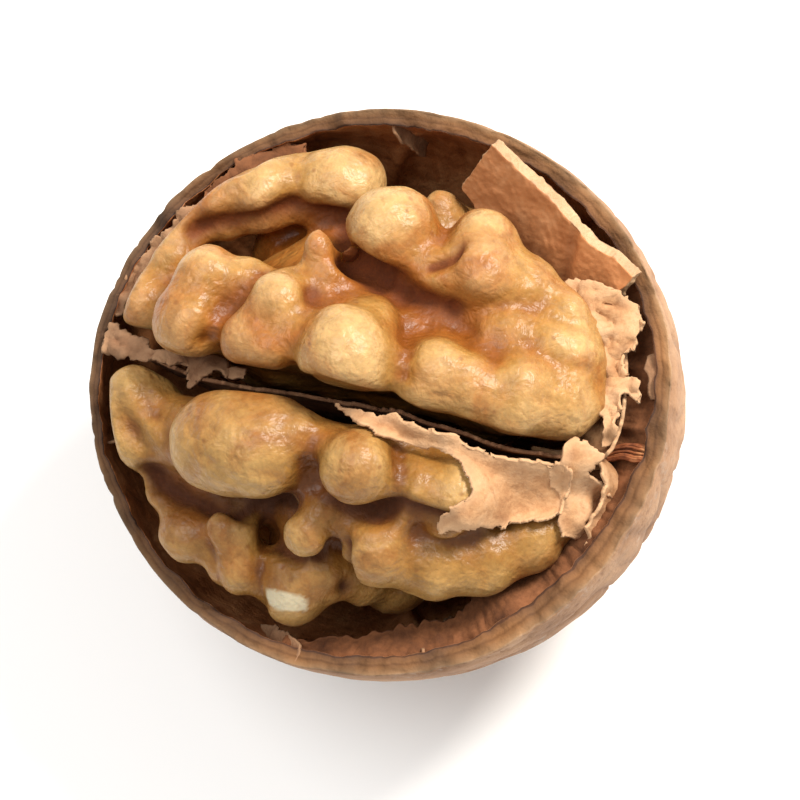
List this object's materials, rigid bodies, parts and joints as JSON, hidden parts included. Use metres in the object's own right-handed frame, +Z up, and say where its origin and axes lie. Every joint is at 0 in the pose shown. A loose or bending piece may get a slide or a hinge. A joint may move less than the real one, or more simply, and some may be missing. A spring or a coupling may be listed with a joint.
{
  "type": "open walnut",
  "caption": "Cracked-open walnut: a half shell holding the whole lobed kernel in two halves, with the papery partition and a broken shell chip.",
  "frame": {"origin": "middle of the shell's outline in plan, at the height of the small flat that the shell rests on", "axes": "+X along the nut's long axis, towards the stem end where the shell wall is thickest; +Y across the cleft, towards the half kernel without the paper flap; +Z up, out of the open shell"},
  "size_m": [0.0406, 0.0384, 0.0315],
  "materials": {
    "shell": "dry woody nutshell, matte, furrowed outside and fibrous brown inside",
    "kernel": "golden tan seed skin with fine reddish veins, soft waxy sheen",
    "paper": "dry, matte, papery pinkish-brown tissue with torn edges"
  },
  "bodies": {
    "root": {"shell": "shell", "shell_chip": "shell", "kernel_back": "kernel", "kernel_front": "kernel", "partition": "paper"}
  },
  "joints": []
}
